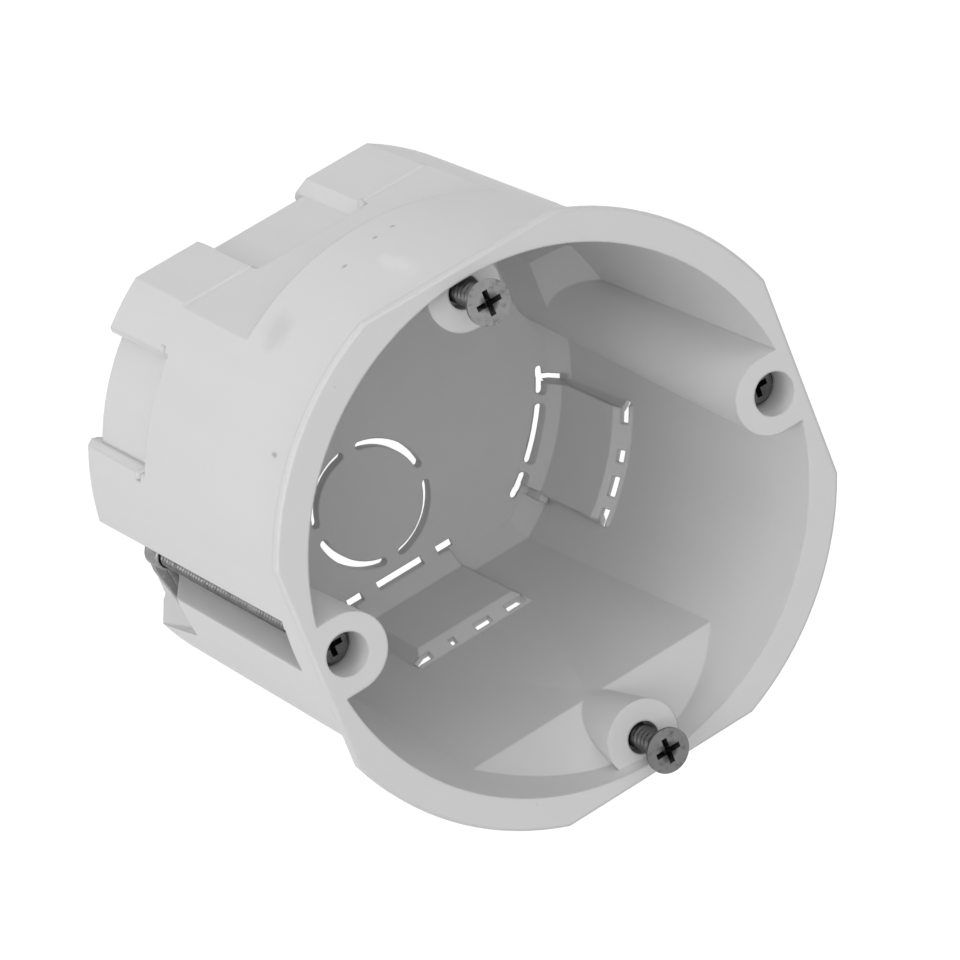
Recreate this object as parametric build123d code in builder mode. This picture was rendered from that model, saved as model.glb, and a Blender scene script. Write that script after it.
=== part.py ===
from build123d import *
import math
import os

# Flush mounting box: a round moulded cup with a thin front flange, two device screws and two wall claws
# Millimetres, rear face on Z = 0, +Z out of the mouth, claw screws on X, device screws on Y
# The driving dimensions come first and every feature below is drawn from them

# Cup
box_depth = 58.4
device_spacing = 60.0
screw_to_wall = 3.4
wall_lean = 0.6
rear_bevel = 2.45
wall = 1.1
back_wall = 1.4
bevel_wall = 1.6

# Flange
flange_overhang = 2.8
flange_side = 0.37
flange_thickness = 1.1
flange_edge = 0.25

# Flat sides on +Y and -Y, with the solid blocks for the device screws in front of them
flat_inset = 4.5
flat_front = 25.2
pad_step = 0.3
pad_top = 16.0
ramp_foot_depth = 12.0
ramp_top_depth = 3.5
ramp_wall = 1.0

# Device screw bosses
boss_face_depth = 1.95
boss_foot_depth = 13.6
boss_radius = 4.7
boss_foot_radius = 2.8
boss_mouth_radius = 2.0
boss_mouth_depth = 2.4
core_half_gap = 3.6
core_end = 14.6
core_slope = 1.5

# Claw domes, channels and bores, leaning outward towards the rear
claw_inset = 3.56
dome_radius = 4.8
dome_mouth_inset = 3.9
dome_rear_inset = 1.0
channel_half_width = 2.75
channel_side = 0.45
pocket_start = 0.5
channel_depth = 6.8
claw_bore_radius = 2.65
claw_seat_depth = 5.6

# Claw clearance pockets beside the channels, their end walls leaning with the height
pocket_inset = 4.9
pocket_foot = 10.7
pocket_rise = 8.0
pocket_corner = 10.4
pocket_end = 13.0
pocket_corner_x = 2.5
pocket_lean = 0.24

# Knock-out panels, stepped inward with sloped edges
panel_step = 1.55
panel_width = 15.6
panel_floor_width = 12.9
panel_top = 17.9
panel_floor_top = 15.9
panel_back_rise = 0.45
panel_bevel_gap = 0.25
round_panel_azimuth = 144.4

# Perforations, each slot given by its middle and its length
slot_width = 1.0
back_panel_y = 13.35
back_panel_radius = 7.65
back_slot_angle = 69.0
flat_rear_inset = 2.39
flat_rear_slots = ((-6.6, 2.2), (0.0, 6.6), (6.65, 2.1))
flat_front_slots = ((-6.25, 2.7), (-1.5, 2.2), (2.9, 0.8), (7.15, 2.1))
round_rear_inset = 4.5
round_rear_slots = ((-13.5, 5.1), (0.0, 13.4), (13.5, 5.1))
round_front_slots = ((-12.0, 3.8), (-4.9, 4.6), (2.0, 2.9), (11.8, 5.0))
round_branch_angle = 13.9
round_branch_length = 3.1

# Screws and claws
device_screw_radius = 1.5
device_head_radius = 2.75
device_head_height = 1.7
device_head_rim = 0.3
device_head_proud = 3.8
device_screw_length = 19.8
screw_point = 0.5
claw_screw_radius = 1.25
claw_head_radius = 2.4
claw_head_height = 1.6
claw_head_edge = 0.4
claw_screw_tip = 8.4
claw_bottom = 9.8
claw_thickness = 1.2
claw_half_width = 1.7
claw_hub_radius = 1.75
claw_hub_height = 2.0
claw_outer = 1.45
claw_neck = 2.0
claw_reach = 8.6
claw_tip_x = 0.1
claw_corner = 8.2
claw_corner_x = 1.0
claw_shoulder = 6.6
running_clearance = 0.05
seat_gap = 0.02
cross_width = 0.7
cross_depth = 1.2
cross_taper = 12.0
device_cross = 3.2
claw_cross = 2.8

# Derived values
over = 1.0
far = 45.0
mouth_radius = device_spacing / 2 + screw_to_wall
rear_radius = mouth_radius - wall_lean
inner_mouth = mouth_radius - wall
inner_rear = rear_radius - wall
bevel_radius = rear_radius - rear_bevel
bevel_inset = bevel_wall * math.sqrt(2)
back_radius = bevel_radius - bevel_inset + back_wall
flange_radius = mouth_radius + flange_overhang
flange_half_width = mouth_radius + flange_side
flange_rear = box_depth - flange_thickness
flat_distance = rear_radius - flat_inset
flat_inner = flat_distance - wall
flat_top = box_depth - flat_front
back_flat = flat_distance - rear_bevel - bevel_inset + back_wall
ramp_foot = box_depth - ramp_foot_depth
ramp_top = box_depth - ramp_top_depth
ramp_outer = mouth_radius - ramp_wall
device_y = device_spacing / 2
boss_face = box_depth - boss_face_depth
boss_foot = box_depth - boss_foot_depth
claw_x = mouth_radius - claw_inset
dome_mouth_x = mouth_radius - dome_mouth_inset
dome_rear_x = rear_radius - dome_rear_inset
dome_shift = dome_rear_x - dome_mouth_x
channel_rear_x = dome_rear_x - dome_radius + wall + channel_half_width
channel_top = box_depth - channel_depth
claw_seat = box_depth - claw_seat_depth
dome_lean = (dome_shift, 0, box_depth)
dome_across = (box_depth, 0, -dome_shift)
dome_plane = Plane(origin=(-dome_rear_x, 0, 0), x_dir=dome_across, z_dir=dome_lean)
channel_plane = Plane(origin=(-channel_rear_x, 0, 0), x_dir=dome_across, z_dir=dome_lean)
pocket_x = rear_radius - pocket_inset
pocket_slope = pocket_rise / pocket_inset
pocket_wall_rise = wall * math.sqrt(1 + pocket_slope**2)
panel_floor_radius = rear_radius - panel_step
panel_back_radius = panel_floor_radius - wall
panel_flat_floor = flat_distance - panel_step
panel_flat_back = panel_flat_floor - wall
bevel_step = panel_step * math.sqrt(2)
bevel_back = (panel_step + bevel_wall - panel_bevel_gap) * math.sqrt(2)
flank_slope = (panel_width - panel_floor_width) / 2 / panel_step
flank_wall = wall * math.sqrt(1 + flank_slope**2)
panel_back_half = panel_floor_width / 2 + flank_wall - wall * flank_slope
step_run = math.hypot(panel_step, panel_top - panel_floor_top)
step_cos = panel_step / step_run
step_sin = (panel_top - panel_floor_top) / step_run
round_panel_angle = math.degrees(panel_width / panel_back_radius) + 2 * math.degrees(wall / panel_back_radius)
device_head_top = box_depth + device_head_proud


def turned_plane(azimuth):
    """Return the upright plane through Z whose X runs along the azimuth."""
    turn = math.radians(azimuth)
    return Plane(
        origin=(0, 0, 0),
        x_dir=(math.cos(turn), math.sin(turn), 0),
        z_dir=(math.sin(turn), -math.cos(turn), 0),
    )


def step_slot(surface):
    """Return the corners of a slot square through the sloped front step below a surface."""
    middle_x = surface - panel_step / 2 - wall / 2 * step_sin
    middle_z = (panel_top + panel_floor_top) / 2 + wall / 2 * step_cos
    half = slot_width / 2
    deep = wall + over
    return [
        (middle_x + a * half * step_cos + b * deep * step_sin, middle_z + a * half * step_sin - b * deep * step_cos)
        for a, b in ((-1, -1), (-1, 1), (1, 1), (1, -1))
    ]


# Outside form: turned cup with two flats and a ledge in front of each
with BuildPart() as shell:
    with BuildSketch(Plane.XZ):
        with BuildLine():
            Polyline(
                (0, 0),
                (bevel_radius, 0),
                (rear_radius, rear_bevel),
                (mouth_radius, box_depth),
                (0, box_depth),
                close=True,
            )
        make_face()
    revolve(axis=Axis.Z)
    with BuildSketch(Plane.YZ):
        with BuildLine():
            Polyline(
                (0, 0),
                (flat_distance - rear_bevel, 0),
                (flat_distance, rear_bevel),
                (flat_distance, pad_top),
                (flat_distance - pad_step, pad_top + pad_step),
                (flat_distance - pad_step, flat_top),
                (far, flat_top),
                (far, box_depth),
                (0, box_depth),
                close=True,
            )
        make_face()
        mirror(about=Plane.YZ)
    extrude(amount=far, both=True, mode=Mode.INTERSECT)

# Front flange: a thin disc with four straightened sides and a softened front edge
with BuildPart() as flange:
    with BuildSketch(Plane.XZ):
        with BuildLine():
            Polyline(
                (0, flange_rear),
                (flange_radius, flange_rear),
                (flange_radius, box_depth - flange_edge),
                (flange_radius - flange_edge, box_depth),
                (0, box_depth),
                close=True,
            )
        make_face()
    revolve(axis=Axis.Z)
    for side in (Plane.XZ, Plane.YZ):
        with BuildSketch(side):
            with BuildLine():
                Polyline(
                    (0, flange_rear),
                    (flange_half_width, flange_rear),
                    (flange_half_width, box_depth - flange_edge),
                    (flange_half_width - flange_edge, box_depth),
                    (0, box_depth),
                    close=True,
                )
            make_face()
            mirror(about=Plane.YZ)
        extrude(amount=far, both=True, mode=Mode.INTERSECT)

# Inside form: turned hollow, narrowed by the flats and widened by the ramps near the mouth
with BuildPart() as hollow:
    with BuildSketch(Plane.XZ):
        with BuildLine():
            Polyline(
                (0, back_wall),
                (back_radius, back_wall),
                (inner_rear, back_wall + inner_rear - back_radius),
                (inner_mouth, box_depth),
                (inner_mouth, box_depth + over),
                (0, box_depth + over),
                close=True,
            )
        make_face()
    revolve(axis=Axis.Z)
    with BuildSketch(Plane.YZ):
        with BuildLine():
            Polyline(
                (0, back_wall),
                (back_flat, back_wall),
                (flat_inner, back_wall + flat_inner - back_flat),
                (flat_inner, ramp_foot),
                (ramp_outer, ramp_top),
                (far, ramp_top),
                (far, box_depth + over),
                (0, box_depth + over),
                close=True,
            )
        make_face()
        mirror(about=Plane.YZ)
    extrude(amount=far, both=True, mode=Mode.INTERSECT)

# Clearance pocket beside the left channel: leaning end wall, sloped front
with BuildPart() as pocket:
    with BuildSketch(Plane.XY.offset(-over)):
        with BuildLine():
            Polyline(
                (-pocket_x, over),
                (-pocket_x, -pocket_corner),
                (-pocket_x - pocket_corner_x, -pocket_end),
                (-far, -pocket_end),
                (-far, over),
                close=True,
            )
        make_face()
    extrude(amount=far, dir=(0, pocket_lean, 1))
    with BuildSketch(Plane.XZ.offset(pocket_start)):
        with BuildLine():
            Polyline(
                (over - pocket_x, -over),
                (over - pocket_x, pocket_foot - over * pocket_slope),
                (-far, pocket_foot + (far - pocket_x) * pocket_slope),
                (-far, -over),
                close=True,
            )
        make_face()
    extrude(amount=far, mode=Mode.INTERSECT)

# The same pocket one wall thickness larger, which leaves its wall inside the cup
with BuildPart() as pocket_wall:
    with BuildSketch(Plane.XY.offset(-over)):
        with BuildLine():
            Polyline(
                (-pocket_x, over),
                (-pocket_x, -pocket_corner),
                (-pocket_x - pocket_corner_x, -pocket_end),
                (-far, -pocket_end),
                (-far, over),
                close=True,
            )
        make_face()
        offset(amount=wall, kind=Kind.INTERSECTION)
    extrude(amount=far, dir=(0, pocket_lean, 1))
    with BuildSketch(Plane.XZ):
        with BuildLine():
            Polyline(
                (2 * wall - pocket_x, back_wall / 2),
                (2 * wall - pocket_x, pocket_foot + pocket_wall_rise - 2 * wall * pocket_slope),
                (-far, pocket_foot + pocket_wall_rise + (far - pocket_x) * pocket_slope),
                (-far, back_wall / 2),
                close=True,
            )
        make_face()
    extrude(amount=far, mode=Mode.INTERSECT)

# Recess of the knock-out panel in the round wall
with BuildPart() as round_recess:
    with BuildSketch(turned_plane(round_panel_azimuth - round_panel_angle / 2)):
        with BuildLine():
            Polyline(
                (bevel_radius - bevel_step - over, -over),
                (panel_floor_radius, panel_floor_radius - bevel_radius + bevel_step),
                (panel_floor_radius, panel_floor_top),
                (rear_radius + over, panel_top + over * step_sin / step_cos),
                (far, panel_top + over * step_sin / step_cos),
                (far, -over),
                close=True,
            )
        make_face()
    revolve(axis=Axis.Z, revolution_arc=round_panel_angle)
    with BuildSketch(Plane(origin=(0, 0, -over), x_dir=turned_plane(round_panel_azimuth).x_dir, z_dir=(0, 0, 1))):
        with BuildLine():
            Polyline(
                (0, 0),
                (0, panel_floor_width / 2),
                (panel_floor_radius, panel_floor_width / 2),
                (far, panel_floor_width / 2 + (far - panel_floor_radius) * flank_slope),
                (far, 0),
                close=True,
            )
        make_face()
        mirror(about=Plane.XZ)
    extrude(amount=far, mode=Mode.INTERSECT)

# Back of the same panel, standing inside the cup
with BuildPart() as round_back:
    with BuildSketch(turned_plane(round_panel_azimuth - round_panel_angle / 2)):
        with BuildLine():
            Polyline(
                (bevel_radius - bevel_back + back_wall / 2, back_wall / 2),
                (panel_back_radius, panel_back_radius - bevel_radius + bevel_back),
                (panel_back_radius, panel_floor_top + panel_back_rise),
                (rear_radius - wall, panel_top + panel_back_rise),
                (far, panel_top + panel_back_rise),
                (far, back_wall / 2),
                close=True,
            )
        make_face()
    revolve(axis=Axis.Z, revolution_arc=round_panel_angle)
    with BuildSketch(Plane(origin=(0, 0, -over), x_dir=turned_plane(round_panel_azimuth).x_dir, z_dir=(0, 0, 1))):
        with BuildLine():
            Polyline(
                (0, 0),
                (0, panel_back_half),
                (panel_back_radius, panel_back_half),
                (far, panel_back_half + (far - panel_back_radius) * flank_slope),
                (far, 0),
                close=True,
            )
        make_face()
        mirror(about=Plane.XZ)
    extrude(amount=far, mode=Mode.INTERSECT)

# Recess of the knock-out panel in the flat wall
with BuildPart() as flat_recess:
    with BuildSketch(Plane.YZ):
        with BuildLine():
            Polyline(
                (flat_distance - rear_bevel - bevel_step - over, -over),
                (panel_flat_floor, panel_flat_floor - flat_distance + rear_bevel + bevel_step),
                (panel_flat_floor, panel_floor_top),
                (flat_distance + over, panel_top + over * step_sin / step_cos),
                (flat_distance + 3 * over, panel_top + over * step_sin / step_cos),
                (flat_distance + 3 * over, -over),
                close=True,
            )
        make_face()
    extrude(amount=panel_width, both=True)
    with BuildSketch(Plane.XY.offset(-over)):
        with BuildLine():
            Polyline(
                (0, 0),
                (panel_floor_width / 2, 0),
                (panel_floor_width / 2, panel_flat_floor),
                (panel_floor_width / 2 + (far - panel_flat_floor) * flank_slope, far),
                (0, far),
                close=True,
            )
        make_face()
        mirror(about=Plane.YZ)
    extrude(amount=far, mode=Mode.INTERSECT)

# Back of the same panel
with BuildPart() as flat_back:
    with BuildSketch(Plane.YZ):
        with BuildLine():
            Polyline(
                (flat_distance - rear_bevel - bevel_back + back_wall / 2, back_wall / 2),
                (panel_flat_back, panel_flat_back - flat_distance + rear_bevel + bevel_back),
                (panel_flat_back, panel_floor_top + panel_back_rise),
                (flat_inner, panel_top + panel_back_rise),
                (far, panel_top + panel_back_rise),
                (far, back_wall / 2),
                close=True,
            )
        make_face()
    extrude(amount=panel_width, both=True)
    with BuildSketch(Plane.XY.offset(-over)):
        with BuildLine():
            Polyline(
                (0, 0),
                (panel_back_half, 0),
                (panel_back_half, panel_flat_back),
                (panel_back_half + (far - panel_flat_back) * flank_slope, far),
                (0, far),
                close=True,
            )
        make_face()
        mirror(about=Plane.YZ)
    extrude(amount=far, mode=Mode.INTERSECT)

# Everything that stands inward from the wall on one half: dome, pocket wall, panel backs and boss
with BuildPart() as inward:
    with BuildSketch(dome_plane.offset(-over)):
        Circle(dome_radius)
        with Locations((-far / 2, 0)):
            Rectangle(far, 2 * dome_radius)
    extrude(amount=box_depth + 3 * over)
    add(pocket_wall.part)
    add(round_back.part)
    add(flat_back.part)
    # Conical boss of the device screw
    with BuildSketch(Plane.XZ.offset(-device_y)):
        with BuildLine():
            Polyline(
                (0, boss_foot),
                (boss_foot_radius, boss_foot),
                (boss_radius, boss_face),
                (0, boss_face),
                close=True,
            )
        make_face()
    revolve(axis=Axis((0, device_y, 0), (0, 0, 1)))
    add(shell.part, mode=Mode.INTERSECT)

# Claw channel, open to the outside behind the bore collar
with BuildPart() as channel:
    with BuildSketch(channel_plane.offset(-2 * over)):
        with Locations((0, channel_side)):
            Circle(channel_half_width)
        with Locations((-far / 2, channel_side)):
            Rectangle(far, 2 * channel_half_width)
    extrude(amount=box_depth)
    with BuildSketch(Plane.XY.offset(-over)):
        Rectangle(2 * far, 2 * far)
    extrude(amount=channel_top + over, mode=Mode.INTERSECT)

# Everything cut from the outside on one half: channel, bore, pocket, panel recesses and screw hole
with BuildPart() as cuts:
    add(channel.part)
    # Claw screw bore, its head seat and its shank hole
    with BuildSketch(Plane.XY.offset(claw_seat)):
        with Locations((-claw_x, 0)):
            Circle(claw_bore_radius)
    extrude(amount=box_depth - claw_seat + over)
    with BuildSketch(Plane.XY.offset(channel_top - over)):
        with Locations((-claw_x, 0)):
            Circle(claw_screw_radius + running_clearance)
    extrude(amount=claw_seat - channel_top + 2 * over)
    add(pocket.part)
    add(round_recess.part)
    add(flat_recess.part)
    # Device screw hole with its widened mouth
    with BuildSketch(Plane.XY.offset(flat_top - over)):
        with Locations((0, device_y)):
            Circle(device_screw_radius + running_clearance)
    extrude(amount=boss_face - flat_top + 2 * over)
    with BuildSketch(Plane.XY.offset(boss_face - boss_mouth_depth)):
        with Locations((0, device_y)):
            Circle(boss_mouth_radius)
    extrude(amount=boss_mouth_depth + over)

# Core pockets either side of the screw hole, open towards the rear
with BuildPart() as cores:
    with BuildSketch(Plane.YZ.offset(core_half_gap)):
        with BuildLine():
            Polyline(
                (flat_distance, flat_top - over),
                (flat_distance, ramp_foot - wall),
                (far, ramp_foot - wall + core_slope * (far - flat_distance)),
                (far, flat_top - over),
                close=True,
            )
        make_face()
    extrude(amount=core_end - core_half_gap)
    mirror(about=Plane.YZ)
    with BuildSketch(Plane.XY.offset(flat_top - over)):
        Circle(rear_radius - wall)
    extrude(amount=ramp_foot - wall + core_slope * (rear_radius - wall - flat_distance) - flat_top + over, mode=Mode.INTERSECT)

# Perforations through the webs of the panels
with BuildPart() as slots:
    # Round panel in the rear wall and the rear edges of the two side panels
    with BuildSketch(Plane.XY.offset(-over)):
        with Locations((0, back_panel_y)):
            with PolarLocations(0, 4, start_angle=45 - back_slot_angle / 2):
                SlotArc(CenterArc((0, 0), back_panel_radius, 0, back_slot_angle), slot_width)
        for middle, length in flat_rear_slots:
            with Locations((middle, panel_flat_back - flat_rear_inset)):
                Rectangle(length, slot_width)
    extrude(amount=back_wall + 2 * over)
    with BuildSketch(Plane.XY.offset(-over)):
        for middle, length in round_rear_slots:
            with PolarLocations(0, 1, start_angle=round_panel_azimuth + middle - length / 2):
                SlotArc(CenterArc((0, 0), rear_radius - round_rear_inset, 0, length), slot_width)
        for turn in (-round_branch_angle, round_branch_angle):
            with PolarLocations(rear_radius - round_rear_inset, 1, start_angle=round_panel_azimuth + turn):
                Rectangle(round_branch_length, slot_width, align=(Align.MIN, Align.CENTER))
    extrude(amount=back_wall + 4 * over)
    # Front steps of the two side panels
    for middle, length in round_front_slots:
        with BuildSketch(turned_plane(round_panel_azimuth + middle - length / 2)):
            with BuildLine():
                Polyline(*step_slot(rear_radius), close=True)
            make_face()
        revolve(axis=Axis.Z, revolution_arc=length)
    for middle, length in flat_front_slots:
        with BuildSketch(Plane.YZ.offset(middle)):
            with BuildLine():
                Polyline(*step_slot(flat_distance), close=True)
            make_face()
        extrude(amount=length / 2, both=True)

with BuildPart() as box:
    add(shell.part)
    add(flange.part)
    add(hollow.part, mode=Mode.SUBTRACT)
    with PolarLocations(0, 2):
        add(inward.part)
    with PolarLocations(0, 2):
        add(cuts.part, mode=Mode.SUBTRACT)
    with PolarLocations(0, 2):
        add(cores.part, mode=Mode.SUBTRACT)
    with PolarLocations(0, 2):
        add(slots.part, mode=Mode.SUBTRACT)
box.part.label = "box"

# Device screw: countersunk head with a cross recess, round shank
with BuildPart() as device_screw:
    with BuildSketch(Plane.XZ):
        with BuildLine():
            Polyline(
                (0, device_head_top - device_screw_length),
                (device_screw_radius - screw_point, device_head_top - device_screw_length),
                (device_screw_radius, device_head_top - device_screw_length + screw_point),
                (device_screw_radius, device_head_top - device_head_height),
                (device_head_radius, device_head_top - device_head_rim),
                (device_head_radius, device_head_top),
                (0, device_head_top),
                close=True,
            )
        make_face()
    revolve(axis=Axis.Z)
    with BuildSketch(Plane.XY.offset(device_head_top)):
        Rectangle(cross_width, device_cross)
        Rectangle(device_cross, cross_width)
    extrude(amount=-cross_depth, taper=cross_taper, mode=Mode.SUBTRACT)

# Claw screw: small round head sunk in the bore, long thin shank
with BuildPart() as claw_screw:
    with BuildSketch(Plane.XZ):
        with BuildLine():
            Polyline(
                (0, claw_screw_tip),
                (claw_screw_radius - screw_point, claw_screw_tip),
                (claw_screw_radius, claw_screw_tip + screw_point),
                (claw_screw_radius, claw_seat + seat_gap),
                (claw_head_radius, claw_seat + seat_gap),
                (claw_head_radius, claw_seat + seat_gap + claw_head_height - claw_head_edge),
                (claw_head_radius - claw_head_edge, claw_seat + seat_gap + claw_head_height),
                (0, claw_seat + seat_gap + claw_head_height),
                close=True,
            )
        make_face()
    revolve(axis=Axis.Z)
    with BuildSketch(Plane.XY.offset(claw_seat + seat_gap + claw_head_height)):
        Rectangle(cross_width, claw_cross)
        Rectangle(claw_cross, cross_width)
    extrude(amount=-cross_depth, taper=cross_taper, mode=Mode.SUBTRACT)

# Claw: strip with a drawn collar for the screw, parked sideways in the clearance pocket
with BuildPart() as claw:
    with BuildSketch(Plane.XY.offset(claw_bottom)):
        Circle(claw_hub_radius)
        with BuildLine():
            Polyline(
                (-claw_outer, 0),
                (-claw_outer, -claw_neck),
                (claw_tip_x, -claw_reach),
                (claw_corner_x, -claw_corner),
                (claw_half_width, -claw_shoulder),
                (claw_half_width, 0),
                close=True,
            )
        make_face()
    extrude(amount=claw_thickness)
    with BuildSketch(Plane.XY.offset(claw_bottom)):
        Circle(claw_hub_radius)
    extrude(amount=claw_thickness + claw_hub_height)
    with BuildSketch(Plane.XY.offset(claw_bottom)):
        Circle(claw_screw_radius + running_clearance)
    extrude(amount=claw_thickness + claw_hub_height, mode=Mode.SUBTRACT)

# Place each screw and claw on its own axis
upper_screw = device_screw.part.moved(Location((0, device_y, 0)))
upper_screw.label = "device_screw_upper"
lower_screw = device_screw.part.moved(Location((0, -device_y, 0), (0, 0, 180)))
lower_screw.label = "device_screw_lower"
left_claw_screw = claw_screw.part.moved(Location((-claw_x, 0, 0)))
left_claw_screw.label = "claw_screw_left"
right_claw_screw = claw_screw.part.moved(Location((claw_x, 0, 0), (0, 0, 180)))
right_claw_screw.label = "claw_screw_right"
left_claw = claw.part.moved(Location((-claw_x, 0, 0)))
left_claw.label = "claw_left"
right_claw = claw.part.moved(Location((claw_x, 0, 0), (0, 0, 180)))
right_claw.label = "claw_right"

os.makedirs("parts", exist_ok=True)
export_step(box.part, "parts/box.step")
export_step(upper_screw, "parts/device_screw_upper.step")
export_step(lower_screw, "parts/device_screw_lower.step")
export_step(left_claw_screw, "parts/claw_screw_left.step")
export_step(right_claw_screw, "parts/claw_screw_right.step")
export_step(left_claw, "parts/claw_left.step")
export_step(right_claw, "parts/claw_right.step")
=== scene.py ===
"""Flush mounting box: what shows of it, its finishes, and the stage it stands on."""

import logging
import math
from dataclasses import dataclass, field
from enum import Enum
from typing import Any, Sequence

import bmesh
import bpy
import numpy as np
from mathutils import Matrix, Vector


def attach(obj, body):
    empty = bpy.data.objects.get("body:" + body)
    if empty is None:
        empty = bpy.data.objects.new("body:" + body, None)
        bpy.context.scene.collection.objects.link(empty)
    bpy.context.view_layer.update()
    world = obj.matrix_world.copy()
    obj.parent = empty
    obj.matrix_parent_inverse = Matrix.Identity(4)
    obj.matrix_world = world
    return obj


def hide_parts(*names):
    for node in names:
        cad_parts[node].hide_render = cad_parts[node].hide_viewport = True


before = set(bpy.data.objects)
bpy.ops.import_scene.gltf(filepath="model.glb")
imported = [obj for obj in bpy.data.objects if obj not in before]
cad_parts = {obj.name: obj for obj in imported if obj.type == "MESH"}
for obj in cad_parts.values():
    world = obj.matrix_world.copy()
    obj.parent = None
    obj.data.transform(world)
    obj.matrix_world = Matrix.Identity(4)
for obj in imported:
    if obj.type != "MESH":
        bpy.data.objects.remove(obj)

log = logging.getLogger("flush_box")
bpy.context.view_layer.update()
MM = 0.001

# A whole turn in radians and half a turn in degrees.
FULL_TURN = 2 * math.pi
HALF_TURN = 180

Numbers = Sequence[float]
Outline = Sequence[tuple[float, float]]

# The middle of a value that runs from 0 to 1, such as a noise.
MIDDLE = 0.5

# The display levels' white, and the sRGB curve that turns a level into light.
WHITE = 255
SRGB_KNEE, SRGB_SLOPE, SRGB_OFFSET, SRGB_POWER = 0.04045, 12.92, 0.055, 2.4

# Corners of a CAD mesh that lie nearer than this are one corner.
SAME_PLACE = 0.002 * MM

# Twice the area in square millimetres under which a triangle has no say in a normal.
SLIVER = 1e-7

# The least size to divide by, and the least sum of normals that still has a direction.
LEAST = 1e-12
NO_DIRECTION = 1e-9

# The distance between the device screws, and how far the claw screws stand from the axis, in millimetres.
DEVICE_SPACING = 60.0
CLAW_X = 29.84

# The Mix node's sockets for its factor, its two colours and its result.
MIX_FACTOR, MIX_FIRST, MIX_SECOND, MIX_RESULT = 0, 6, 7, 2

# How many faces round an edge off, and the profile of a round one.
EDGE_SEGMENTS = 2
ROUND_PROFILE = 0.5


class Math(Enum):
    """The Math node's operations that the finishes and the thread use."""

    ADD = "ADD"
    SUBTRACT = "SUBTRACT"
    MULTIPLY = "MULTIPLY"
    DIVIDE = "DIVIDE"
    POWER = "POWER"
    MINIMUM = "MINIMUM"
    MAXIMUM = "MAXIMUM"
    ABSOLUTE = "ABSOLUTE"
    FRACTION = "FRACT"
    ARCTAN2 = "ARCTAN2"


class Reshape(Enum):
    """What a form does to the body."""

    TAKE_OUT = "DIFFERENCE"
    ADD = "UNION"


class Sock:
    """A node's output socket with arithmetic, so that maths reads as an expression."""

    def __init__(self, net: "Net", out: Any) -> None:
        """Keep the socket and the net it belongs to.

        Args:
            net: The net that makes the nodes.
            out: The output socket.
        """
        self.net = net
        self.out = out

    def __add__(self, other: Any) -> "Sock":
        """Return self plus other."""
        return self.net.math(Math.ADD, self, other)

    def __radd__(self, other: Any) -> "Sock":
        """Return other plus self."""
        return self.net.math(Math.ADD, other, self)

    def __sub__(self, other: Any) -> "Sock":
        """Return self minus other."""
        return self.net.math(Math.SUBTRACT, self, other)

    def __rsub__(self, other: Any) -> "Sock":
        """Return other minus self."""
        return self.net.math(Math.SUBTRACT, other, self)

    def __mul__(self, other: Any) -> "Sock":
        """Return self times other."""
        return self.net.math(Math.MULTIPLY, self, other)

    def __rmul__(self, other: Any) -> "Sock":
        """Return other times self."""
        return self.net.math(Math.MULTIPLY, other, self)

    def __truediv__(self, other: Any) -> "Sock":
        """Return self over other."""
        return self.net.math(Math.DIVIDE, self, other)

    def __pow__(self, other: Any) -> "Sock":
        """Return self to the power of other."""
        return self.net.math(Math.POWER, self, other)


@dataclass(frozen=True)
class Pattern:
    """A noise pattern: its scale per metre, its detail and roughness, and a scale for each axis."""

    scale: float
    detail: float = 3.0
    roughness: float = 0.5
    axes: tuple[float, float, float] | None = None


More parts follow.
